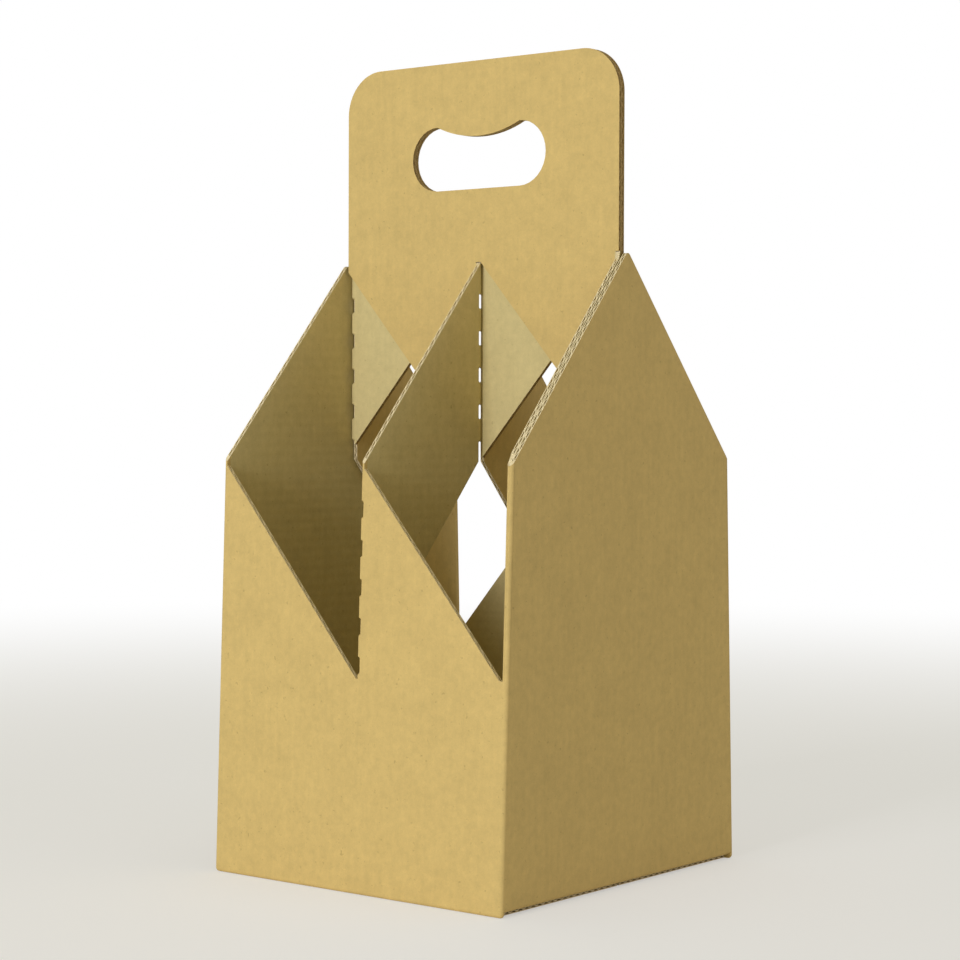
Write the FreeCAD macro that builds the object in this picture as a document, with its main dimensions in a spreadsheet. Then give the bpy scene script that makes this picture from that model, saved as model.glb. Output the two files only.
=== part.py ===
import FreeCAD, Part
import math
import os
import Sketcher
from FreeCAD import Vector

# A carrier for four bottles, folded and glued from one die-cut sheet of E-flute board.
#
# Going round the sheet: the front wall turns in at its middle to the front middle strap, which runs
# back to the middle of the carrier and turns there into the front handle ply. The ply turns forward
# at its right side into the side strap, which lies on the inside of the right end wall and doubles
# back into it in a hairpin fold. The same run then repeats for the back wall, so half of the sheet
# is modelled and turned by 180 degrees about the upright axis. Every rim and strap edge is one of a
# few slanting cuts, because neighbours on the flat sheet share them.
#
# Frame: origin at the centre of the base, +Z up, the front wall towards -Y, in millimetres.

NODE = "folded_carrier"

DIMENSIONS = (
    ("pitch", 66.0, "width of one bottle cell, from fold to fold"),
    ("board", 1.6, "thickness of the board"),
    ("rim_low", 74.5, "height of the low end of a wall's slanting rim"),
    ("rim_high", 149.0, "height of its high end, where the gables start"),
    ("apex", 223.5, "height of the gables' tips"),
    ("top", 295.6, "height of the handle's top edge"),
    ("spread", 5.0, "how far the front and back walls lean out at the floor"),
    ("bond", 0.05, "how far the two handle plies press into each other where they are glued"),
    ("fold_round", 1.4, "outer radius of a folded edge"),
    ("strap_lift", 2.8, "how far a strap's lower edge ends above the lower tip of its ply"),
    ("handle_trim", 1.3, "how far the handle's free sides stay inside the end walls"),
    ("handle_corner", 16.0, "radius of the handle's upper corners"),
    ("grip_half", 19.2, "from the hand hole's centre to the centre of its round ends"),
    ("grip_round", 11.8, "radius of the hand hole's round ends"),
    ("grip_height", 260.6, "height of the hand hole's centre line"),
    ("grip_dip", 4.3, "how far the hand hole's upper edge dips in the middle"),
    ("cut_first", 4.6, "from the start of a cut fold to the centre of its first cut"),
    ("cut_period", 13.5, "from one cut of a fold to the next"),
    ("cut_length", 5.3, "length of one cut along the fold"),
    ("front_notch", 1.0, "depth of the notch that a cut leaves along a front wall's fold"),
    ("ply_gap", 0.65, "how far a cut at a handle ply opens past the fold's own block"),
    ("tip_round", 1.5, "radius of the gables' tips"),
    ("flap_inset", 1.0, "how far the bottom flaps stay inside the walls"),
    ("flap_gap", 1.2, "gap between two bottom flaps that meet"),
    ("tab_width", 20.0, "width of the glue tab"),
    ("tab_taper", 9.0, "how much the glue tab's ends slant"),
)
SIZE = {alias: value for alias, value, meaning in DIMENSIONS}

CUTS_PER_FOLD = 5
NEAR = 0.05
ROUGHLY_PARALLEL = 0.99
ALONG_X = Vector(1, 0, 0)
ALONG_Y = Vector(0, 1, 0)
ALONG_Z = Vector(0, 0, 1)

# Expressions that several sketches share. The front wall's outer face leans: its distance from the
# middle is the pitch at the high rim and grows by the spread towards the floor.
RIM_SLOPE = "(dim.rim_high - dim.rim_low) / dim.pitch"
GABLE_SLOPE = "(dim.apex - dim.rim_high) / dim.pitch"
HANDLE_SIDE = "dim.pitch - dim.board - dim.handle_trim"


def wall_face(height):
    """Expression for the distance of a leaning wall's outer face at this height."""
    return f"dim.pitch + dim.spread * (1 - ({height}) / dim.rim_high)"


def add_dimensions(doc):
    """Spreadsheet with one named cell for each driving dimension."""
    sheet = doc.addObject("Spreadsheet::Sheet", "dim")
    for row, (alias, value, meaning) in enumerate(DIMENSIONS, start=1):
        sheet.set(f"A{row}", meaning)
        sheet.set(f"B{row}", str(value))
        sheet.setAlias(f"B{row}", alias)
    doc.recompute()


def origin_feature(body, role):
    """Origin plane or axis of the body."""
    return next(item for item in body.Origin.OriginFeatures if item.Role == role)


def bind(sketch, constraint, expression):
    """Add a constraint whose value follows an expression on the sheet."""
    number = sketch.addConstraint(constraint)
    sketch.setExpression(f"Constraints[{number}]", expression)


def new_sketch(body, name, plane, offset="0"):
    """Empty sketch on an origin plane, moved along the plane's normal by an expression."""
    sketch = body.newObject("Sketcher::SketchObject", name)
    sketch.AttachmentSupport = [(origin_feature(body, plane), "")]
    sketch.MapMode = "FlatFace"
    sketch.setExpression(".AttachmentOffset.Base.z", offset)
    return sketch


def add_loop(sketch, corners):
    """Closed loop of lines. A corner is a pair of expressions, across and up.

    The lines start round a circle, and their constraints carry them to their places.
    """
    first = sketch.GeometryCount
    count = len(corners)
    turns = [2 * math.pi * index / count for index in range(count)]
    start = [SIZE["pitch"] * Vector(math.cos(turn), math.sin(turn), 0) for turn in turns]
    for index in range(count):
        sketch.addGeometry(Part.LineSegment(start[index], start[(index + 1) % count]))
    for index, (across, up) in enumerate(corners):
        line = first + index
        following = first + (index + 1) % count
        sketch.addConstraint(Sketcher.Constraint("Coincident", line, 2, following, 1))
        point = start[index]
        bind(sketch, Sketcher.Constraint("DistanceX", -1, 1, line, 1, point.x), across)
        bind(sketch, Sketcher.Constraint("DistanceY", -1, 1, line, 1, point.y), up)


def outline(body, name, plane, loops, offset="0"):
    """Sketch made of closed loops of lines."""
    sketch = new_sketch(body, name, plane, offset)
    for corners in loops:
        add_loop(sketch, corners)
    return sketch


def pad(body, name, sketch, length, symmetric=False):
    """Pad of a sketch along its normal, or to both sides of it."""
    feature = body.newObject("PartDesign::Pad", name)
    feature.Profile = sketch
    feature.setExpression("Length", length)
    if symmetric:
        feature.SideType = "Symmetric"
    return feature


def pocket(body, name, sketch, length, reverse=False):
    """Pocket that cuts against the sketch's normal, or along it when reversed."""
    feature = body.newObject("PartDesign::Pocket", name)
    feature.Profile = sketch
    feature.setExpression("Length", length)
    feature.Reversed = reverse
    return feature


def edges_where(shape, along, test):
    """Names of the shape's straight edges that run roughly along a direction and pass the test.

    The test is made on the edge's two end points, and both have to pass it.
    """
    names = []
    for number, edge in enumerate(shape.Edges, start=1):
        if not isinstance(edge.Curve, Part.Line):
            continue
        runs_along = abs(edge.Curve.Direction.dot(along)) > ROUGHLY_PARALLEL
        if runs_along and all(test(vertex.Point) for vertex in edge.Vertexes):
            names.append(f"Edge{number}")
    return names


def fillet(body, name, radius, along, test):
    """Fillet on those edges of the body's last feature that run along a direction and pass a test."""
    body.Document.recompute()
    base = body.Tip
    names = edges_where(base.Shape, along, test)
    if not names:
        raise ValueError(f"{name}: no edge found")
    feature = body.newObject("PartDesign::Fillet", name)
    feature.Base = (base, names)
    feature.setExpression("Radius", radius)
    return feature


def face_distance(height):
    """Distance of a leaning wall's outer face from the middle, as a number."""
    return SIZE["pitch"] + SIZE["spread"] * (1 - height / SIZE["rim_high"])


def near(value, target):
    return abs(value - target) < NEAR


def build_front_wall(body):
    """Leaning front wall, with its rim cut to two slants, and the round fold at its middle strap."""
    floor_face = wall_face("0")
    section = outline(body, "WallSection", "YZ_Plane", [[
        (f"-({floor_face})", "0"),
        ("-dim.pitch", "dim.rim_high"),
        ("dim.board - dim.pitch", "dim.rim_high"),
        (f"dim.board - ({floor_face})", "0"),
    ]])
    pad(body, "FrontWall", section, "2 * dim.pitch", symmetric=True)

    # The right end of the rim stays high over two boards' width: it is the hairpin's nose.
    nose = "dim.pitch - 2 * dim.board"
    above = "dim.rim_high + dim.board"
    rim = outline(body, "RimProfile", "XZ_Plane", [[
        ("-dim.pitch", "dim.rim_high"),
        ("0", "dim.rim_low"),
        ("0", "dim.rim_high"),
        (nose, f"dim.rim_low + 2 * dim.board * {RIM_SLOPE}"),
        (nose, above),
        ("-dim.pitch", above),
    ]])
    pocket(body, "RimCut", rim, "2 * dim.pitch", reverse=True)


def add_strap(body, name, offset):
    """Slanting strap from the front wall to the middle, where its fold to the ply is rounded."""
    sketch = outline(body, f"{name}Outline", "YZ_Plane", [[
        (f"-({wall_face('dim.rim_low')})", "dim.rim_low"),
        ("0", "dim.rim_high + dim.strap_lift"),
        ("0", "dim.apex"),
        ("-dim.pitch", "dim.rim_high"),
    ]], offset)
    strap = pad(body, name, sketch, "dim.board")
    body.Document.recompute()
    outer_side = sketch.AttachmentOffset.Base.z + strap.Length.Value
    fillet(body, f"{name}PlyFold", "dim.fold_round", ALONG_Z,
           lambda point: near(point.x, outer_side) and near(point.y, 0))


def build_straps(body):
    """Middle strap, folded in from the front wall, and side strap, glued to the end wall."""
    add_strap(body, "MiddleStrap", "0")
    fillet(body, "MiddleStrapFrontFold", "dim.fold_round", ALONG_Z,
           lambda point: near(point.x, 0) and near(-point.y, face_distance(point.z))
           and point.z > SIZE["rim_low"] - NEAR)
    add_strap(body, "SideStrap", "dim.pitch - 2 * dim.board")


def build_end_wall(body):
    """Right end wall: a gable that stands one board above the floor, on the bottom flaps."""
    bottom = wall_face("dim.board")
    gable = outline(body, "GableOutline", "YZ_Plane", [[
        (f"-({bottom})", "dim.board"),
        (bottom, "dim.board"),
        ("dim.pitch", "dim.rim_high"),
        ("0", "dim.apex"),
        ("-dim.pitch", "dim.rim_high"),
    ]], "dim.pitch - dim.board")
    pad(body, "EndWall", gable, "dim.board")
    fillet(body, "GableTip", "dim.tip_round", ALONG_X,
           lambda point: near(point.y, 0) and near(point.z, SIZE["apex"])
           and point.x > SIZE["pitch"] - SIZE["board"] - NEAR)
    fillet(body, "EndFloorFold", "dim.fold_round", ALONG_Y,
           lambda point: near(point.z, SIZE["board"]) and near(point.x, SIZE["pitch"]))


def build_handle_ply(body):
    """Front handle ply: its lower edge is two slants, its upper corners are round."""
    start = "dim.board + dim.handle_trim"
    fold = "dim.pitch - 2 * dim.board"
    ply = outline(body, "PlyOutline", "XZ_Plane", [[
        (f"-({HANDLE_SIDE})", f"dim.apex - ({start}) * {GABLE_SLOPE}"),
        ("0", "dim.rim_high"),
        ("0", "dim.apex"),
        (fold, f"dim.rim_high + 2 * dim.board * {GABLE_SLOPE}"),
        (fold, "dim.apex"),
        (HANDLE_SIDE, "dim.apex"),
        (HANDLE_SIDE, "dim.top"),
        (f"-({HANDLE_SIDE})", "dim.top"),
    ]], "-dim.bond")
    pad(body, "HandlePly", ply, "dim.board + dim.bond")
    fillet(body, "HandleCorners", "dim.handle_corner", ALONG_Y,
           lambda point: near(point.z, SIZE["top"]))


def build_hand_hole(body):
    """Hand hole: a slot with round ends, whose upper edge dips between two horns."""
    sketch = new_sketch(body, "HandHoleOutline", "XZ_Plane", "-dim.bond")
    half = SIZE["grip_half"]
    radius = SIZE["grip_round"]
    height = SIZE["grip_height"]
    dip = SIZE["grip_dip"]
    dip_round = (half ** 2 + dip ** 2) / (2 * dip)
    dip_turn = math.asin(half / dip_round)
    quarter = math.pi / 2
    axis = Vector(0, 0, 1)
    left_centre = Vector(-half, height, 0)
    right_centre = Vector(half, height, 0)
    dip_centre = Vector(0, height + radius - dip + dip_round, 0)
    sketch.addGeometry(Part.ArcOfCircle(Part.Circle(left_centre, axis, radius), quarter, 3 * quarter))
    sketch.addGeometry(Part.LineSegment(left_centre - Vector(0, radius, 0),
                                        right_centre - Vector(0, radius, 0)))
    sketch.addGeometry(Part.ArcOfCircle(Part.Circle(right_centre, axis, radius), -quarter, quarter))
    sketch.addGeometry(Part.ArcOfCircle(Part.Circle(dip_centre, axis, dip_round),
                                        3 * quarter - dip_turn, 3 * quarter + dip_turn))
    left, bottom, right, upper = range(4)
    joints = ((left, 2, bottom, 1), (bottom, 2, right, 1), (right, 2, upper, 2), (upper, 1, left, 1))
    for joint in joints:
        sketch.addConstraint(Sketcher.Constraint("Coincident", *joint))
    for arc, across, centre in ((left, -half, "-dim.grip_half"), (right, half, "dim.grip_half")):
        bind(sketch, Sketcher.Constraint("DistanceX", -1, 1, arc, 3, across), centre)
        bind(sketch, Sketcher.Constraint("DistanceY", -1, 1, arc, 3, height), "dim.grip_height")
    # Each round end runs from straight below its centre to straight above it.
    for point in ((left, 1), (left, 2), (right, 1), (right, 2)):
        sketch.addConstraint(Sketcher.Constraint("Vertical", point[0], 3, *point))
    bind(sketch, Sketcher.Constraint("Radius", left, radius), "dim.grip_round")
    bind(sketch, Sketcher.Constraint("Radius", right, radius), "dim.grip_round")
    bind(sketch, Sketcher.Constraint("Radius", upper, dip_round),
         "(dim.grip_half ^ 2 + dim.grip_dip ^ 2) / (2 * dim.grip_dip)")
    pocket(body, "HandHole", sketch, "dim.board + dim.bond", reverse=True)


def cut_heights(start):
    """Expressions for the lower and upper ends of the cuts along one fold."""
    heights = []
    for index in range(CUTS_PER_FOLD):
        centre = f"{start} + dim.cut_first + {index} * dim.cut_period"
        heights.append((f"{centre} - dim.cut_length / 2", f"{centre} + dim.cut_length / 2"))
    return heights


def build_fold_cuts(body):
    """Cuts along the folds at both ends of the straps, where the folded board gapes open.

    At the front wall a cut only leaves a notch in the fold's outer corner. At the handle ply it
    takes the fold's whole block, one board square, and a little more of the panels beside it. The
    lowest cut there is open at its lower end.
    """
    outside = "-(dim.pitch + 2 * dim.spread)"
    front_loops = []
    for low, high in cut_heights("dim.rim_low"):
        front_loops.append([
            (outside, low),
            (f"dim.front_notch - ({wall_face(low)})", low),
            (f"dim.front_notch - ({wall_face(high)})", high),
            (outside, high),
        ])
    front = outline(body, "FrontFoldCutOutlines", "YZ_Plane", front_loops)
    pocket(body, "FrontFoldCuts", front, "dim.front_notch", reverse=True)

    ply_depth = "dim.board + dim.ply_gap"
    ply_heights = cut_heights("dim.rim_high")
    ply_heights[0] = ("dim.rim_high - dim.board", ply_heights[0][1])
    ply_loops = []
    for low, high in ply_heights:
        ply_loops.append([
            (f"-({ply_depth})", low),
            ("dim.bond", low),
            ("dim.bond", high),
            (f"-({ply_depth})", high),
        ])
    ply = outline(body, "PlyFoldCutOutlines", "YZ_Plane", ply_loops, "-dim.ply_gap")
    cuts = pocket(body, "PlyFoldCuts", ply, ply_depth, reverse=True)
    pattern = body.newObject("PartDesign::LinearPattern", "PlyFoldCutsBothSides")
    pattern.Originals = [cuts]
    pattern.Direction = (origin_feature(body, "X_Axis"), [""])
    pattern.setExpression("Length", "dim.pitch - 2 * dim.board")
    pattern.Occurrences = 2
    body.Tip = pattern


def build_bottom_flaps(body):
    """Outer flap of the front wall, lowest, and inner flap of the end wall, glued on top of it."""
    side = "dim.pitch - dim.flap_inset"
    front = f"-({wall_face('0')}) + dim.fold_round / 2"
    outer = outline(body, "OuterFlapOutline", "XY_Plane", [[
        (f"-({side})", front),
        (side, front),
        (side, "-dim.flap_gap / 2"),
        (f"-({side})", "-dim.flap_gap / 2"),
    ]])
    pad(body, "OuterFlap", outer, "dim.board")
    inside = f"{wall_face('dim.board')} - dim.board - dim.flap_inset"
    inner = outline(body, "InnerFlapOutline", "XY_Plane", [[
        ("dim.flap_gap / 2", f"-({inside})"),
        ("dim.pitch - dim.board / 2", f"-({inside})"),
        ("dim.pitch - dim.board / 2", inside),
        ("dim.flap_gap / 2", inside),
    ]], "dim.board")
    pad(body, "InnerFlap", inner, "dim.board")


def turn_half(body):
    """The second half of the sheet: the first one turned about the upright axis."""
    pattern = body.newObject("PartDesign::PolarPattern", "BothHalves")
    pattern.TransformMode = "Whole shape"
    pattern.Axis = (origin_feature(body, "Z_Axis"), [""])
    pattern.Angle = 360
    pattern.Occurrences = 2
    body.Tip = pattern
    body.Document.recompute()


def build_glue_tab(body):
    """Glue tab of the back wall, on the inside of the left end wall, below the side strap."""
    low = "3 * dim.board"
    high = "dim.rim_low - dim.board"
    free_edge = "dim.pitch - dim.tab_width"
    tab = outline(body, "GlueTabOutline", "YZ_Plane", [[
        (f"{wall_face(low)} - dim.board", low),
        (f"{wall_face(high)} - dim.board", high),
        (free_edge, f"{high} - dim.tab_taper"),
        (free_edge, f"{low} + dim.tab_taper"),
    ]], "dim.board - dim.pitch")
    pad(body, "GlueTab", tab, "dim.board")


def round_folds(body):
    """Round outer edges of the folds between walls, at the hairpins and along the floor."""
    nose = SIZE["pitch"] - 2 * SIZE["board"]

    def on_leaning_face(point):
        return near(abs(point.y), face_distance(point.z))

    def at_corner(point):
        return near(abs(point.x), SIZE["pitch"]) and on_leaning_face(point)

    def at_hairpin(point):
        return near(abs(point.x), nose) and on_leaning_face(point)

    fillet(body, "CornerFolds", "dim.fold_round", ALONG_Z,
           lambda point: at_corner(point) or at_hairpin(point))
    fillet(body, "WallFloorFolds", "dim.fold_round", ALONG_X,
           lambda point: near(point.z, 0) and near(abs(point.y), face_distance(0)))


def build_carrier(doc):
    """The whole folded sheet as one body."""
    body = doc.addObject("PartDesign::Body", "FoldedCarrier")
    body.Label = NODE
    build_front_wall(body)
    build_straps(body)
    build_end_wall(body)
    build_handle_ply(body)
    build_hand_hole(body)
    build_fold_cuts(body)
    build_bottom_flaps(body)
    turn_half(body)
    build_glue_tab(body)
    round_folds(body)
    doc.recompute()
    return body


def check(doc, bodies):
    """Stop if an object failed to build or a shape isn't one sound solid."""
    for item in doc.Objects:
        if "Invalid" in item.State or "Error" in item.State:
            raise RuntimeError(f"{item.Name} failed: {item.State}")
    for body in bodies:
        shape = body.Shape
        if shape.isNull() or not shape.isValid() or len(shape.Solids) != 1:
            raise RuntimeError(f"{body.Label} is not one valid solid")


def main():
    doc = FreeCAD.newDocument("BottleCarrier")
    add_dimensions(doc)
    bodies = [build_carrier(doc)]
    check(doc, bodies)
    os.makedirs("parts", exist_ok=True)
    for body in bodies:
        body.Shape.exportStep(f"parts/{body.Label}.step")
        box = body.Shape.BoundBox
        print(f"{body.Label}: {box.XLength:.2f} x {box.YLength:.2f} x {box.ZLength:.2f} mm, "
              f"{body.Shape.Volume / 1000:.2f} cm3, {len(body.Shape.Faces)} faces")


main()
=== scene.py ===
import math

import bmesh
import bpy
import numpy as np
from mathutils import Matrix, Vector
from mathutils.geometry import tessellate_polygon


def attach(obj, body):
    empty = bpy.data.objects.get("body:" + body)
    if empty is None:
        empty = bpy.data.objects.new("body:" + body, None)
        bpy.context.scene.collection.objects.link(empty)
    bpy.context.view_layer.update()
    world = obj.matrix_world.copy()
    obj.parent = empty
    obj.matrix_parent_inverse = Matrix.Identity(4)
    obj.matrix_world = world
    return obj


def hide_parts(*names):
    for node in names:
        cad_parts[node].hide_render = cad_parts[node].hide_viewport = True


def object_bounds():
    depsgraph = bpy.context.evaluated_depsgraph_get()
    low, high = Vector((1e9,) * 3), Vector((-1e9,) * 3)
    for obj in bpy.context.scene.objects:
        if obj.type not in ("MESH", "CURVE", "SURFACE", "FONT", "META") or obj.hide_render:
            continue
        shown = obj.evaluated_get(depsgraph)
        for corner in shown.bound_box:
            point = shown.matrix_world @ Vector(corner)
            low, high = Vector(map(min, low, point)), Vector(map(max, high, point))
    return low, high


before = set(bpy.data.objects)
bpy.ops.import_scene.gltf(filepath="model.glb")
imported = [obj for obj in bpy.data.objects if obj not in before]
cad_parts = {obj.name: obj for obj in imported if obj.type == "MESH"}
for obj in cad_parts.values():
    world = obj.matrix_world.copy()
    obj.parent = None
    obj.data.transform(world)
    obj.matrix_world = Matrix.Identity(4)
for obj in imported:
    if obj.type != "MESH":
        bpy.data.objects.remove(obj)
cad_low, cad_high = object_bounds()

# The carrier is one folded sheet of E-flute board. It is built here as what it is: an outer liner,
# an inner liner and the fluting between them, panel by panel, joined by rounded folds. Sizes are in
# millimetres, with the width and the height from the frame. Meshes are turned to metres when they
# are made.

MM = 0.001

# The sheet: half its width, its height, the board's thickness, the heights of the two rims and of
# the gable's tip, and how far the front and back walls lean out at their feet.
PITCH = cad_high.x / MM
TOP = cad_high.z / MM
BOARD = 1.6
RIM_LOW = 74.5
RIM_HIGH = 149.0
APEX = 223.5
SPREAD = 5.0
RIM_SLOPE = (RIM_HIGH - RIM_LOW) / PITCH
GABLE_SLOPE = (APEX - RIM_HIGH) / PITCH

# Below this height a leaning wall goes straight down.
FOOT = 1.45

# The rounds of the folds and of the gable's tip.
FOLD_ROUND = 1.4
TIP_ROUND = 1.5

# The handle: how far its sides stand in from the end walls, the round of its corners, half the
# distance of the hand hole's round ends, their round and height, and the dip in the hole's top.
HANDLE_TRIM = 1.3
HANDLE_CORNER = 16.0
HANDLE_SIDE = PITCH - BOARD - HANDLE_TRIM
GRIP_HALF = 19.2
GRIP_ROUND = 11.8
GRIP_HEIGHT = 260.6
GRIP_DIP = 4.3

# The cuts along a fold: their number, the first one's middle above the fold's lower end, their
# distance and length, the height over which a panel steps back beside them, and how far the middle
# strap does so at its front fold.
CUTS_PER_FOLD = 5
CUT_FIRST = 4.6
CUT_PERIOD = 13.5
CUT_LENGTH = 5.3
CUT_RAMP = 0.9
CUT_GAP = 0.65

# The folds of the straps with the handle ply: their width, the round of their outside, and how far
# the panels are set back beside the cuts.
PLY_FOLD_WIDTH = 2.4
PLY_FOLD_ROUND = 2.2
PLY_CUT_GAP = 0.2

# The straps: the height of their lower edge above the high rim at the middle of the carrier, the
# hairpin's nose where the side strap starts, and how far that strap leaves the end wall on its way.
STRAP_LIFT = 2.8
NOSE_WIDTH = 2.5
NOSE_DEPTH = 3.6
STRAP_LEAN = 0.6

# The bottom flaps: how far the outer ones end inside the faces of the end walls, and the inner ones
# before the leaning walls, and the gap between two that meet. Then the glue tab's width and taper.
FLAP_SIDE_INSET = 3.0
FLAP_INSET = 1.0
FLAP_GAP = 1.2
TAB_WIDTH = 20.0
TAB_TAPER = 9.0

# The board's own make-up: the thickness of a liner and of the fluting's paper, the distance of the
# flutes, how far they sink into the liners, and how far their middle swings.
LINER = 0.31
FLUTE_PAPER = 0.38
FLUTE_PITCH = 3.6
FLUTE_BITE = 0.01
FLUTE_SWING = (BOARD - 2 * LINER - FLUTE_PAPER) / 2 + FLUTE_BITE

# The meshes: rows in one flute, the narrowest row, steps in a round, the smallest round of a foot,
# the share that a fold's section shrinks to at a cut, the angle below which an edge is smooth, the
# digits that heights are rounded to, and what counts as level and as the same place.
ROWS_PER_FLUTE = 12
NARROWEST_ROW = 0.04
ARC_STEPS = 8
SMALLEST_ROUND = 0.001
CUT_END_SHARE = 0.4
SMOOTH_BELOW = math.radians(40)
HEIGHT_DIGITS = 4
LEVEL = 1e-4
SAME_PLACE = 1e-3

# Material slots, in the order of the materials at the end. The last is the handle plies' cut edges
# in darker colours: painted shade.
OUTER, INNER, EDGE, PAINTED_SHADE_EDGE = range(4)

# Factors of x and y for a shell with its copy after half a turn, and for a shell alone.
BOTH_HALVES = (1, -1)
ONE_ONLY = (1,)


def srgb(red, green, blue):
    """Linear colour with alpha from 8-bit screen values."""
    channels = []
    for value in (red, green, blue):
        share = value / 255
        channels.append(share / 12.92 if share <= 0.04045 else ((share + 0.055) / 1.055) ** 2.4)
    return (*channels, 1.0)


# ---------------------------------------------------------------- meshes

class Shells:
    """Closed shells that together become one piece. Each face has a material slot, and each point
    its place across the flutes."""

    def __init__(self, name):
        self.name = name
        self.points = []
        self.across = []
        self.faces = []
        self.slots = []

    def add(self, points, faces, slots, across, turns=BOTH_HALVES):
        """Add one shell, once for each of the turns about the upright axis."""
        for sign in turns:
            first = len(self.points)
            self.points += [(sign * x, sign * y, z) for x, y, z in points]
            self.faces += [[first + index for index in face] for face in faces]
            self.slots += slots
            self.across += across

    def make(self, materials):
        """The Blender object, in metres, riding on the one body."""
        mesh = bpy.data.meshes.new(self.name)
        mesh.from_pydata([(x * MM, y * MM, z * MM) for x, y, z in self.points], [], self.faces)
        for material in materials:
            mesh.materials.append(material)
        mesh.polygons.foreach_set("material_index", self.slots)
        attribute = mesh.attributes.new("across_flutes", "FLOAT", "POINT")
        attribute.data.foreach_set("value", np.array(self.across, np.float32))
        work = bmesh.new()
        work.from_mesh(mesh)
        bmesh.ops.recalc_face_normals(work, faces=work.faces)
        work.to_mesh(mesh)
        work.free()
        mesh.shade_smooth()
        mesh.set_sharp_from_angle(angle=SMOOTH_BELOW)
        piece = bpy.data.objects.new(self.name, mesh)
        bpy.context.scene.collection.objects.link(piece)
        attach(piece, "root")
        return piece


def arc(centre, radius, start, end, steps=ARC_STEPS):
    """Points on an arc, from one angle to another in degrees."""
    angles = np.radians(np.linspace(start, end, steps + 1))
    return [(centre[0] + radius * math.cos(a), centre[1] + radius * math.sin(a)) for a in angles]


def prism(loops, near, far, place):
    """Closed plate between two depths of a panel: its points, its faces with the broad ones first,
    the number of broad ones, and the place of each point across the flutes."""
    flat = [point for loop in loops for point in loop]
    count = len(flat)
    triangles = tessellate_polygon([[Vector((u, v, 0)) for u, v in loop] for loop in loops])
    points = [place(u, v, depth) for depth in (near, far) for u, v in flat]
    faces = [list(triangle) for triangle in triangles]
    faces += [[index + count for index in triangle] for triangle in triangles]
    broad = len(faces)
    first = 0
    for loop in loops:
        size = len(loop)
        for index in range(size):
            a = first + index
            b = first + (index + 1) % size
            faces.append([a, b, b + count, a + count])
        first += size
    return points, faces, broad, 2 * [v for u, v in flat]


def slabs(loops, step):
    """Horizontal slabs of a panel: for each, its two heights and the spans that it holds."""
    edges = []
    levels = set()
    for loop in loops:
        for index, (u0, v0) in enumerate(loop):
            u1, v1 = loop[(index + 1) % len(loop)]
            levels.add(round(v0, HEIGHT_DIGITS))
            if abs(v1 - v0) > LEVEL:
                edges.append((u0, v0, u1, v1))
    low, high = min(levels), max(levels)
    number = math.ceil(low / step)
    while number * step < high:
        levels.add(round(number * step, HEIGHT_DIGITS))
        number += 1
    levels = sorted(levels)
    for bottom, top in zip(levels, levels[1:]):
        middle = (bottom + top) / 2
        crossing = []
        for u0, v0, u1, v1 in edges:
            if min(v0, v1) < middle < max(v0, v1):
                slope = (u1 - u0) / (v1 - v0)
                crossing.append((u0 + slope * (middle - v0), u0 + slope * (bottom - v0),
                                 u0 + slope * (top - v0)))
        crossing.sort()
        spans = [(left[1], right[1], left[2], right[2])
                 for left, right in zip(crossing[::2], crossing[1::2])]
        yield bottom, top, spans


def flute_chains(loops, step):
    """Runs of rows, each row a height with its left and right ends, unbroken from slab to slab."""
    open_chains = []
    done = []
    for bottom, top, spans in slabs(loops, step):
        going_on = []
        for left0, right0, left1, right1 in spans:
            chain = next((c for c in open_chains if abs(c[-1][1] - left0) < SAME_PLACE
                          and abs(c[-1][2] - right0) < SAME_PLACE), None)
            if chain is None:
                chain = [(bottom, left0, right0)]
            else:
                open_chains.remove(chain)
            chain.append((top, left1, right1))
            going_on.append(chain)
        done += open_chains
        open_chains = going_on
    return done + open_chains


def fluting(loops, place):
    """Closed wavy sheets that fill a panel between its liners."""
    for chain in flute_chains(loops, FLUTE_PITCH / ROWS_PER_FLUTE):
        points = []
        across = []
        for height, left, right in chain:
            if right - left < NARROWEST_ROW:
                middle = (left + right) / 2
                left, right = middle - NARROWEST_ROW / 2, middle + NARROWEST_ROW / 2
            depth = BOARD / 2 + FLUTE_SWING * math.sin(2 * math.pi * height / FLUTE_PITCH)
            for side in (-1, 1):
                for u in (left, right):
                    points.append(place(u, height, depth + side * FLUTE_PAPER / 2))
                    across.append(height)
        faces = [[0, 1, 3, 2]]
        for row in range(len(chain) - 1):
            a = 4 * row
            b = a + 4
            faces += [[a, a + 1, b + 1, b], [a + 2, a + 3, b + 3, b + 2],
                      [a, a + 2, b + 2, b], [a + 1, a + 3, b + 3, b + 1]]
        end = 4 * (len(chain) - 1)
        faces.append([end, end + 1, end + 3, end + 2])
        yield points, faces, across


def tube(rings):
    """Closed shell through rings of points, each ring with the same number of them."""
    size = len(rings[0])
    points = [point for ring in rings for point in ring]
    faces = [list(range(size)), list(range(len(points) - size, len(points)))]
    for ring in range(len(rings) - 1):
        first = ring * size
        for index in range(size):
            following = (index + 1) % size
            faces.append([first + index, first + following,
                          first + size + following, first + size + index])
    return points, faces


# ---------------------------------------------------------------- panels

def wall_face(z):
    """Distance of a leaning wall's outer face from the middle."""
    return PITCH + SPREAD * (1 - max(z, FOOT) / RIM_HIGH)


# Each of these turns a place on a panel into a point of the carrier. The place is a way along the
# panel's flutes, a way across them and a depth behind its outer face.

def on_front_wall(u, v, depth):
    return (u, depth - wall_face(v), v)


def on_middle_strap(u, v, depth):
    return (depth, u, v)


def on_side_strap(u, v, depth):
    """The side strap leaves the end wall a little towards its fold with the handle ply."""
    return (PITCH - 2 * BOARD - STRAP_LEAN * (1 + u / PITCH) + depth, u, v)


def on_end_wall(u, v, depth):
    return (PITCH - depth, u, v)


def on_ply(u, v, depth):
    return (u, depth - BOARD, v)


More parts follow.
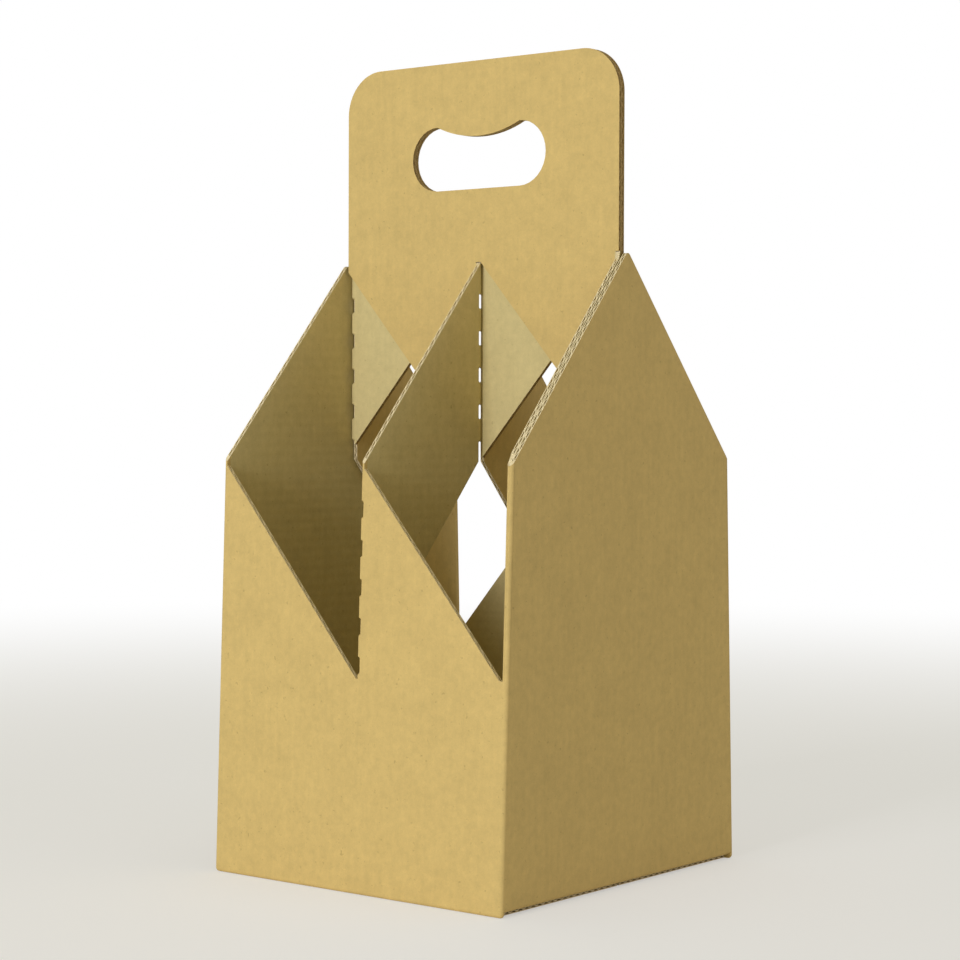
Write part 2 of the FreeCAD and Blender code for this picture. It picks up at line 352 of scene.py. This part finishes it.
def on_outer_flap(u, v, depth):
    return (u, v, depth)


def on_inner_flap(u, v, depth):
    return (v, u, BOARD + depth)


def on_glue_tab(u, v, depth):
    return (BOARD - PITCH + depth, u, v)


def cut_heights(start):
    """Lower and upper ends of the cuts along one fold."""
    centres = [start + CUT_FIRST + index * CUT_PERIOD for index in range(CUTS_PER_FOLD)]
    return [(centre - CUT_LENGTH / 2, centre + CUT_LENGTH / 2) for centre in centres]


def ramped(heights):
    """Heights at which each cut starts, is whole, stops being whole and ends."""
    half = CUT_RAMP / 2
    return [(low - half, low + half, high - half, high + half) for low, high in heights]


def beside_cuts(side, recess, low_end):
    """Points up a panel's side along a ply's fold. It steps back at each cut.

    The lowest cut is open at its lower end, so the side starts there at the height low_end.
    """
    first, *others = ramped(cut_heights(RIM_HIGH))
    points = [(recess, low_end), (recess, first[2]), (side, first[3])]
    for start, low, high, end in others:
        points += [(side, start), (recess, low), (recess, high), (side, end)]
    return points


def front_wall_loops():
    nose = PITCH - 2 * BOARD
    side = PITCH - BOARD
    return [[
        (-side, BOARD),
        (side, BOARD),
        (side, RIM_LOW),
        (nose, RIM_LOW),
        (nose, RIM_LOW + 2 * BOARD * RIM_SLOPE),
        (BOARD, RIM_HIGH - BOARD * RIM_SLOPE),
        (BOARD, RIM_LOW),
        (0, RIM_LOW),
        (-side, RIM_HIGH - BOARD * RIM_SLOPE),
    ]]


def strap_lower_edge(depth):
    """Height of a strap's lower edge at this depth behind the front wall's face."""
    return RIM_LOW + depth * (RIM_HIGH + STRAP_LIFT - RIM_LOW) / wall_face(RIM_LOW)


def strap_loops(front_end, front_edge=()):
    """Strap that starts at the depth front_end, with the points of its front edge from the top."""
    recess = PLY_FOLD_WIDTH + PLY_CUT_GAP
    return [[
        (front_end - wall_face(RIM_LOW), strap_lower_edge(front_end)),
        *beside_cuts(-PLY_FOLD_WIDTH, -recess, strap_lower_edge(wall_face(RIM_LOW) - recess)),
        (-PLY_FOLD_WIDTH, APEX - PLY_FOLD_WIDTH * GABLE_SLOPE),
        (front_end - PITCH, RIM_HIGH + front_end * GABLE_SLOPE),
        *front_edge,
    ]]


def middle_strap_loops():
    """Middle strap, set back from the front wall at each cut of their fold."""
    edge = []
    for start, low, high, end in reversed(ramped(cut_heights(RIM_LOW))):
        for height, depth in ((end, BOARD), (high, BOARD + CUT_GAP),
                              (low, BOARD + CUT_GAP), (start, BOARD)):
            edge.append((depth - wall_face(height), height))
    return strap_loops(BOARD, edge)


def end_wall_loops():
    """Gable with a round tip."""
    bottom = wall_face(2 * BOARD) - BOARD
    slant = math.degrees(math.atan(GABLE_SLOPE))
    tip_centre = (0, APEX - TIP_ROUND / math.cos(math.radians(slant)))
    return [[
        (-bottom, 2 * BOARD),
        (bottom, 2 * BOARD),
        (PITCH - BOARD, RIM_HIGH + BOARD * GABLE_SLOPE),
        *arc(tip_centre, TIP_ROUND, 90 - slant, 90 + slant),
        (BOARD - PITCH, RIM_HIGH + BOARD * GABLE_SLOPE),
    ]]


def ply_loops():
    left = BOARD - PLY_FOLD_WIDTH
    right = PITCH - 2 * BOARD - STRAP_LEAN + left
    tip = TIP_ROUND / GABLE_SLOPE
    shoulder = TOP - HANDLE_CORNER
    corner = HANDLE_SIDE - HANDLE_CORNER
    outline = [
        (-HANDLE_SIDE, APEX - (BOARD + HANDLE_TRIM) * GABLE_SLOPE),
        *beside_cuts(left, left - PLY_CUT_GAP, RIM_HIGH + (PLY_CUT_GAP - left) * GABLE_SLOPE),
        (left, APEX - TIP_ROUND),
        (tip, APEX - TIP_ROUND),
        *beside_cuts(right, right - PLY_CUT_GAP, APEX - (right - PLY_CUT_GAP) * GABLE_SLOPE),
        (right, APEX),
        (HANDLE_SIDE, APEX),
        *arc((corner, shoulder), HANDLE_CORNER, 0, 90, 2 * ARC_STEPS),
        *arc((-corner, shoulder), HANDLE_CORNER, 90, 180, 2 * ARC_STEPS),
    ]
    dip_round = (GRIP_HALF ** 2 + GRIP_DIP ** 2) / (2 * GRIP_DIP)
    dip_turn = math.degrees(math.asin(GRIP_HALF / dip_round))
    dip_centre = (0, GRIP_HEIGHT + GRIP_ROUND - GRIP_DIP + dip_round)
    hole = [
        *arc((GRIP_HALF, GRIP_HEIGHT), GRIP_ROUND, -90, 90, 2 * ARC_STEPS),
        *arc(dip_centre, dip_round, 270 + dip_turn, 270 - dip_turn, 2 * ARC_STEPS)[1:-1],
        *arc((-GRIP_HALF, GRIP_HEIGHT), GRIP_ROUND, 90, 270, 2 * ARC_STEPS),
    ]
    return [outline, hole]


def outer_flap_loops():
    side = PITCH - FLAP_SIDE_INSET
    front = wall_face(0) - BOARD
    return [[(-side, -front), (side, -front), (side, -FLAP_GAP / 2), (-side, -FLAP_GAP / 2)]]


def inner_flap_loops():
    """Corners across the flap and from the middle to the wall, where its flutes run across."""
    half = wall_face(BOARD) - BOARD - FLAP_INSET
    return [[(-half, FLAP_GAP / 2), (half, FLAP_GAP / 2),
             (half, PITCH - BOARD), (-half, PITCH - BOARD)]]


def glue_tab_loops():
    low = 3 * BOARD
    high = RIM_LOW - BOARD
    free = PITCH - TAB_WIDTH
    return [[
        (wall_face(low) - BOARD, low),
        (wall_face(high) - BOARD, high),
        (free, high - TAB_TAPER),
        (free, low + TAB_TAPER),
    ]]


# ---------------------------------------------------------------- folds

def corner_section(width, inset=0.0):
    """Outline of a fold seen along it: so wide and one board deep, with a round outer corner."""
    radius = max(FOLD_ROUND - inset, SMALLEST_ROUND)
    return [*arc((FOLD_ROUND, FOLD_ROUND), radius, 180, 270),
            (width, inset), (width, BOARD), (inset, BOARD)]


def wide_section():
    """Outline of a strap's fold with its ply, whose outside turns in a wider round."""
    centre = (PLY_FOLD_ROUND, PLY_FOLD_ROUND)
    return [*arc(centre, PLY_FOLD_ROUND, 180, 270), (PLY_FOLD_WIDTH, 0), (PLY_FOLD_WIDTH, BOARD),
            *arc(centre, PLY_FOLD_ROUND - BOARD, 270, 180), (BOARD, PLY_FOLD_WIDTH),
            (0, PLY_FOLD_WIDTH)]


def nose_section():
    """Outline of the hairpin: its nose is pinched and widens to two boards behind."""
    return [
        *arc((FOLD_ROUND, FOLD_ROUND), FOLD_ROUND, 180, 270),
        *arc((NOSE_WIDTH - FOLD_ROUND, FOLD_ROUND), FOLD_ROUND, 270, 360),
        (2 * BOARD, NOSE_DEPTH),
        (BOARD, NOSE_DEPTH),
        (BOARD, BOARD),
        (0, BOARD),
    ]


def shrunk(section):
    """The same outline, drawn in towards the fold's inner corner."""
    return [(BOARD + (width - BOARD) * CUT_END_SHARE, BOARD + (depth - BOARD) * CUT_END_SHARE)
            for width, depth in section]


def at_height(z):
    return lambda depth: z


def up_gable(depth):
    return RIM_HIGH + depth * GABLE_SLOPE


def from_right(width):
    return PITCH - width


def from_left(width):
    return width - PITCH


def from_middle(width):
    return width


def wall_ring(section, level, to_x):
    """A section of a fold along a leaning wall. Its points are a width, taken to x by to_x, and a
    depth behind the wall's face. level gives the height as a function of the depth."""
    return [(to_x(width), depth - wall_face(level(depth)), level(depth))
            for width, depth in section]


def upright_fold(section, low, high, to_x):
    """Both ends of a fold along a leaning wall, as wall_ring has them."""
    return [wall_ring(section, level, to_x) for level in (low, high)]


carrier = {name: Shells(name) for name in ("outer_liner", "inner_liner", "fluting", "folds")}


def add_panel(loops, place, edge=EDGE, turns=BOTH_HALVES):
    """Both liners and the fluting of one flat panel."""
    for name, near, far, slot in (("outer_liner", 0, LINER, OUTER),
                                  ("inner_liner", BOARD - LINER, BOARD, INNER)):
        points, faces, broad, across = prism(loops, near, far, place)
        slots = [slot] * broad + [edge] * (len(faces) - broad)
        carrier[name].add(points, faces, slots, across, turns)
    for points, faces, across in fluting(loops, place):
        carrier["fluting"].add(points, faces, [edge] * len(faces), across, turns)


def add_fold(rings, slot=OUTER):
    """One solid fold, with its cut ends."""
    points, faces = tube(rings)
    slots = [EDGE, EDGE] + [slot] * (len(faces) - 2)
    carrier["folds"].add(points, faces, slots, [point[2] for point in points])


def bridges(start):
    """Stretches of a fold between its cuts. Each has the heights where it starts, has its whole
    section, stops having it and ends. The last one goes on upwards and has only the first two."""
    cuts = ramped(cut_heights(start))
    stretches = [(low_cut[2], low_cut[3], high_cut[0], high_cut[1])
                 for low_cut, high_cut in zip(cuts, cuts[1:])]
    return stretches, cuts[-1][2:]


def build_corner_folds():
    """Corners of the walls, standing on the floor with a ball-round foot."""
    for to_x, high in ((from_right, at_height(RIM_LOW)), (from_left, up_gable)):
        rings = []
        for turn in np.radians(np.linspace(0, 90, ARC_STEPS // 2 + 1)):
            inset = FOLD_ROUND * (1 - math.sin(turn))
            z = FOLD_ROUND * (1 - math.cos(turn))
            rings.append(wall_ring(corner_section(BOARD, inset), at_height(z), to_x))
        add_fold(rings + upright_fold(corner_section(BOARD), at_height(2 * BOARD), high, to_x))


def build_hairpin():
    """The side strap doubled back into the end wall, and the solid corner below it."""
    notch_tip = RIM_LOW + 2 * BOARD * RIM_SLOPE
    add_fold(upright_fold(corner_section(2 * BOARD), at_height(RIM_LOW), at_height(notch_tip),
                          from_right))
    add_fold(upright_fold(nose_section(),
                          lambda depth: strap_lower_edge(depth) if depth > BOARD else notch_tip,
                          up_gable, from_right))


def build_front_strap_fold():
    """Fold from the front wall to the middle strap, gone where it is cut."""
    whole = corner_section(BOARD)
    small = shrunk(whole)

    def ring(section, z):
        return wall_ring(section, at_height(z), from_middle)

    middle, (start, first_whole) = bridges(RIM_LOW)
    lowest = ramped(cut_heights(RIM_LOW))[0]
    add_fold([ring(whole, RIM_LOW), ring(whole, lowest[0]), ring(small, lowest[1])])
    for low, low_whole, high_whole, high in middle:
        add_fold([ring(small, low), ring(whole, low_whole),
                  ring(whole, high_whole), ring(small, high)])
    add_fold([ring(small, start), ring(whole, first_whole),
              wall_ring(whole, up_gable, from_middle)])


def build_ply_folds():
    """Folds from both straps to the handle ply, gone altogether where they are cut."""
    whole = wide_section()
    small = shrunk(whole)
    middle, (start, first_whole) = bridges(RIM_HIGH)
    steep = GABLE_SLOPE * PLY_FOLD_WIDTH / (PLY_FOLD_WIDTH - BOARD)
    for left, tip_height in (
            (0, lambda y: min(APEX - TIP_ROUND, APEX + y * GABLE_SLOPE)),
            (PITCH - 2 * BOARD - STRAP_LEAN, lambda y: APEX + min(0, y + BOARD) * steep)):

        def ring(section, z, left=left):
            return [(left + BOARD - width, -depth, z) for width, depth in section]

        for low, low_whole, high_whole, high in middle:
            add_fold([ring(small, low), ring(whole, low_whole),
                      ring(whole, high_whole), ring(small, high)], INNER)
        tip = [(x, y, tip_height(y)) for x, y, _ in ring(whole, RIM_HIGH)]
        add_fold([ring(small, start), ring(whole, first_whole), tip], INNER)


def build_floor_folds():
    """Folds from the walls to the bottom flaps."""
    section = corner_section(BOARD)
    side = PITCH - BOARD
    front = [[(x, depth - wall_face(width), width) for width, depth in section]
             for x in (-side, side)]
    add_fold(front)
    end = wall_face(BOARD) - BOARD
    add_fold([[(PITCH - depth, y, BOARD + width) for width, depth in section]
              for y in (-end, end)])


def build_carrier():
    add_panel(front_wall_loops(), on_front_wall)
    add_panel(middle_strap_loops(), on_middle_strap)
    add_panel(strap_loops(NOSE_DEPTH), on_side_strap)
    add_panel(end_wall_loops(), on_end_wall)
    # The handle ply's cut edges take the darker edge colours: painted shade.
    add_panel(ply_loops(), on_ply, edge=PAINTED_SHADE_EDGE)
    add_panel(outer_flap_loops(), on_outer_flap)
    add_panel(inner_flap_loops(), on_inner_flap)
    add_panel(glue_tab_loops(), on_glue_tab, turns=ONE_ONLY)
    build_corner_folds()
    build_hairpin()
    build_front_strap_fold()
    build_ply_folds()
    build_floor_folds()


# ---------------------------------------------------------------- materials

# Noise patterns of the papers: scale, detail and roughness.
CLOUD = (70, 4.0, 0.6)
MOTTLE = (330, 5.0, 0.7)
GRAIN = (2200, 3.0, 0.65)
STREAK = (500, 3.0, 0.6)
SPECKS = (560, 3.0, 0.6)
FIBRE = (1800, 3.0, 0.7)

# How far kraft's patterns swing its lightness, the part of a noise's range that is used, and the
# scaling of places that draws the streaks out upwards.
CLOUD_SWING = 0.035
MOTTLE_SWING = 0.07
GRAIN_SWING = 0.04
STREAK_SWING = 0.022
NOISE_SPAN = (0.3, 0.7)
STREAK_STRETCH = (1, 1, 0.05)

# Kraft's specks: where in their noise they start and are whole, their strength and their colour.
SPECK_SPAN = (0.655, 0.72)
SPECK_SHARE = 0.28
SPECK_COLOUR = srgb(110, 80, 35)

# Colours of the two liners, and of the fibres of cut edges, from dark to light. The handle plies'
# cut edges get darker colours, painted shade that shows them as brown lines.
OUTER_COLOUR = srgb(208, 181, 115)
INNER_COLOUR = srgb(208, 192, 136)
CUT_EDGE_COLOURS = (srgb(218, 198, 148), srgb(248, 234, 196))
PAINTED_SHADE_EDGE_COLOURS = (srgb(136, 108, 62), srgb(196, 168, 116))

# Relief in millimetres: of the flutes beneath each liner, and of the grain.
OUTER_WASHBOARD = 0.006
INNER_WASHBOARD = 0.015
GRAIN_RELIEF = 0.02

# Roughness and specular level of the surfaces.
KRAFT_FINISH = (0.85, 0.25)
EDGE_FINISH = (0.95, 0.1)
FLOOR_FINISH = (0.9, 0.1)


class Nodes:
    """Short way to write the node tree of a material or a world."""

    def __init__(self, owner):
        owner.use_nodes = True
        self.tree = owner.node_tree

    def feed(self, socket, value):
        """Link a socket to the socket value, or set it to the plain value."""
        if isinstance(value, bpy.types.NodeSocket):
            self.tree.links.new(value, socket)
        else:
            socket.default_value = value

    def add(self, kind, inputs=None, **settings):
        """New node with these settings. Its inputs go by name or number."""
        node = self.tree.nodes.new(kind)
        for key, value in settings.items():
            setattr(node, key, value)
        for key, value in (inputs or {}).items():
            self.feed(node.inputs[key], value)
        return node

    def place(self):
        return self.add("ShaderNodeTexCoord").outputs["Object"]

    def math(self, operation, first, second=0.0):
        return self.add("ShaderNodeMath", {0: first, 1: second}, operation=operation).outputs[0]

    def noise(self, vector, scale, detail, roughness):
        node = self.add("ShaderNodeTexNoise", {"Vector": vector, "Scale": scale,
                                               "Detail": detail, "Roughness": roughness})
        return node.outputs["Fac"]

    def range(self, value, low, high, to_low=0.0, to_high=1.0, kind="LINEAR"):
        node = self.add("ShaderNodeMapRange", {"Value": value, "From Min": low, "From Max": high,
                                               "To Min": to_low, "To Max": to_high},
                        interpolation_type=kind)
        return node.outputs["Result"]

    def mix(self, share, first, second, blend="MIX"):
        node = self.add("ShaderNodeMix", {"Factor": share}, data_type="RGBA", blend_type=blend)
        self.feed(node.inputs[6], first)
        self.feed(node.inputs[7], second)
        return node.outputs[2]

    def looked_at(self):
        """1 where something is looked at, straight, mirrored or through, and 0 for its light."""
        ray = self.add("ShaderNodeLightPath").outputs
        seen = self.math("MAXIMUM", ray["Is Camera Ray"], ray["Is Glossy Ray"])
        return self.math("MAXIMUM", seen, ray["Is Transmission Ray"])

    def surface(self, colour, finish):
        """Give the material's shader a colour, a roughness and a specular level. Returns it."""
        shader = self.tree.nodes["Principled BSDF"]
        for key, value in zip(("Base Color", "Roughness", "Specular IOR Level"), (colour, *finish)):
            self.feed(shader.inputs[key], value)
        return shader

    def blend_out(self, output, share, first, second):
        """Mix two shaders into the tree's output."""
        mixed = self.add("ShaderNodeMixShader", {0: share, 1: first.outputs[0],
                                                 2: second.outputs[0]})
        self.feed(self.tree.nodes[output].inputs["Surface"], mixed.outputs[0])


def kraft(name, base, washboard):
    """Kraft paper: mottled fibre, fine specks and the faint ribs of the flutes beneath."""
    material = bpy.data.materials.new(name)
    nodes = Nodes(material)
    place = nodes.place()
    upright = nodes.add("ShaderNodeVectorMath", {0: place, 1: STREAK_STRETCH},
                        operation="MULTIPLY").outputs["Vector"]
    grain = nodes.noise(place, *GRAIN)
    light = 1.0
    for pattern, swing in ((nodes.noise(place, *CLOUD), CLOUD_SWING),
                           (nodes.noise(place, *MOTTLE), MOTTLE_SWING),
                           (grain, GRAIN_SWING),
                           (nodes.noise(upright, *STREAK), STREAK_SWING)):
        light = nodes.math("ADD", nodes.range(pattern, *NOISE_SPAN, -swing, swing), light)
    tint = nodes.add("ShaderNodeCombineColor", {0: light, 1: light, 2: light}).outputs[0]
    colour = nodes.mix(1.0, base, tint, "MULTIPLY")
    specks = nodes.range(nodes.noise(place, *SPECKS), *SPECK_SPAN)
    colour = nodes.mix(nodes.math("MULTIPLY", specks, SPECK_SHARE), colour, SPECK_COLOUR)
    shader = nodes.surface(colour, KRAFT_FINISH)
    across = nodes.add("ShaderNodeAttribute", attribute_name="across_flutes").outputs["Fac"]
    rib = nodes.math("SINE", nodes.math("MULTIPLY", across, 2 * math.pi / FLUTE_PITCH))
    height = nodes.math("ADD", nodes.math("MULTIPLY", rib, washboard),
                        nodes.math("MULTIPLY", grain, GRAIN_RELIEF))
    bump = nodes.add("ShaderNodeBump", {"Strength": 1.0, "Distance": MM, "Height": height})
    nodes.feed(shader.inputs["Normal"], bump.outputs["Normal"])
    return material


def cut_edge(name, dark, light):
    """Cut paper edges and fluting: fibrous. Given the darker edge colours, it is painted shade on
    the handle plies' edges.
    """
    material = bpy.data.materials.new(name)
    nodes = Nodes(material)
    fibre = nodes.noise(nodes.place(), *FIBRE)
    nodes.surface(nodes.mix(nodes.range(fibre, *NOISE_SPAN), dark, light), EDGE_FINISH)
    return material


# ---------------------------------------------------------------- stage, light and camera

# The camera: its place in metres, its turns in radians, lens and sensor in millimetres, and the
# nearest and furthest that it sees.
CAMERA_PLACE = (0.5440, -0.6855, 0.1654)
CAMERA_YAW = 0.6706
CAMERA_PITCH = -0.0267
CAMERA_ROLL = 0.0033
CAMERA_LENS = 89.24
CAMERA_SENSOR = 36.0
CAMERA_CLIP = (0.01, 50)

# Light from all round, and three soft lamps that point at the middle of the carrier. Places and
# sizes are in metres and powers in watts.
AMBIENT = 0.37
AMBIENT_COLOUR = (1.0, 0.94, 0.66, 1.0)
LIGHT_TARGET = (0, 0, 0.14)
KEY_PLACE = (0.05, -2.2, 0.38)
KEY_SIZE = 0.6
KEY_POWER = 25
KEY_COLOUR = (0.98, 1.0, 1.11)
TOP_PLACE = (0.0, 0.1, 2.0)
TOP_SIZE = 1.0
TOP_POWER = 3
FILL_PLACE = (1.6, 0.3, 0.35)
FILL_SIZE = 0.8
FILL_POWER = 2.1
FILL_COLOUR = (1.0, 1.0, 1.5)

# The floor. What the camera sees of it turns to the backdrop's white between two distances from the
# middle, and has this share of white before.
FLOOR_RADIUS = 6.0
FLOOR_SIDES = 96
FLOOR_COLOUR = srgb(247, 245, 240)
FLOOR_FADE = (0.25, 1.3)
FLOOR_HAZE = 0.45
WHITE = (1.0, 1.0, 1.0, 1.0)


def build_camera():
    data = bpy.data.cameras.new("camera")
    data.lens = CAMERA_LENS
    data.sensor_width = CAMERA_SENSOR
    data.clip_start, data.clip_end = CAMERA_CLIP
    forward = Vector((-math.sin(CAMERA_YAW) * math.cos(CAMERA_PITCH),
                      math.cos(CAMERA_YAW) * math.cos(CAMERA_PITCH), math.sin(CAMERA_PITCH)))
    right = Vector((math.cos(CAMERA_YAW), math.sin(CAMERA_YAW), 0))
    up = right.cross(forward)
    cosine, sine = math.cos(CAMERA_ROLL), math.sin(CAMERA_ROLL)
    axes = Matrix((cosine * right + sine * up, cosine * up - sine * right, -forward)).transposed()
    camera = bpy.data.objects.new("camera", data)
    camera.matrix_world = Matrix.Translation(CAMERA_PLACE) @ axes.to_4x4()
    bpy.context.scene.collection.objects.link(camera)
    bpy.context.scene.camera = camera


def build_floor():
    """Pale round floor that fades to the white backdrop away from the carrier."""
    mesh = bpy.data.meshes.new("floor")
    work = bmesh.new()
    bmesh.ops.create_circle(work, cap_ends=True, segments=FLOOR_SIDES, radius=FLOOR_RADIUS)
    work.to_mesh(mesh)
    work.free()
    floor = bpy.data.objects.new("floor", mesh)
    bpy.context.scene.collection.objects.link(floor)
    material = bpy.data.materials.new("floor")
    nodes = Nodes(material)
    shader = nodes.surface(FLOOR_COLOUR, FLOOR_FINISH)
    distance = nodes.add("ShaderNodeVectorMath", {0: nodes.place()}, operation="LENGTH")
    fade = nodes.range(distance.outputs["Value"], *FLOOR_FADE, FLOOR_HAZE, kind="SMOOTHSTEP")
    white = nodes.add("ShaderNodeEmission", {"Color": WHITE, "Strength": 1.0})
    nodes.blend_out("Material Output", nodes.math("MULTIPLY", fade, nodes.looked_at()),
                    shader, white)
    mesh.materials.append(material)


def build_world():
    """White behind everything that is looked at, and a level warm light from all round."""
    world = bpy.data.worlds.new("studio")
    bpy.context.scene.world = world
    nodes = Nodes(world)
    ambient = nodes.tree.nodes["Background"]
    nodes.feed(ambient.inputs["Color"], AMBIENT_COLOUR)
    nodes.feed(ambient.inputs["Strength"], AMBIENT)
    white = nodes.add("ShaderNodeBackground", {"Color": WHITE, "Strength": 1.0})
    nodes.blend_out("World Output", nodes.looked_at(), ambient, white)


def area_light(name, place, size, power, colour=(1.0, 1.0, 1.0)):
    data = bpy.data.lights.new(name, "AREA")
    data.shape = "SQUARE"
    data.size = size
    data.energy = power
    data.color = colour
    lamp = bpy.data.objects.new(name, data)
    lamp.location = place
    towards = Vector(LIGHT_TARGET) - Vector(place)
    lamp.rotation_euler = towards.to_track_quat("-Z", "Y").to_euler()
    bpy.context.scene.collection.objects.link(lamp)


def build_lights():
    area_light("key", KEY_PLACE, KEY_SIZE, KEY_POWER, KEY_COLOUR)
    area_light("top", TOP_PLACE, TOP_SIZE, TOP_POWER)
    area_light("fill", FILL_PLACE, FILL_SIZE, FILL_POWER, FILL_COLOUR)


build_carrier()
materials = [
    kraft("outer_kraft", OUTER_COLOUR, OUTER_WASHBOARD),
    kraft("inner_kraft", INNER_COLOUR, INNER_WASHBOARD),
    cut_edge("cut_edge", *CUT_EDGE_COLOURS),
    # The darker copy of the cut edge: painted shade on the handle plies' edges.
    cut_edge("painted_shade_edge", *PAINTED_SHADE_EDGE_COLOURS),
]
pieces = {name: shells.make(materials) for name, shells in carrier.items()}
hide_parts("folded_carrier")
build_floor()
build_world()
build_lights()
build_camera()
bpy.context.scene.view_settings.view_transform = "Standard"
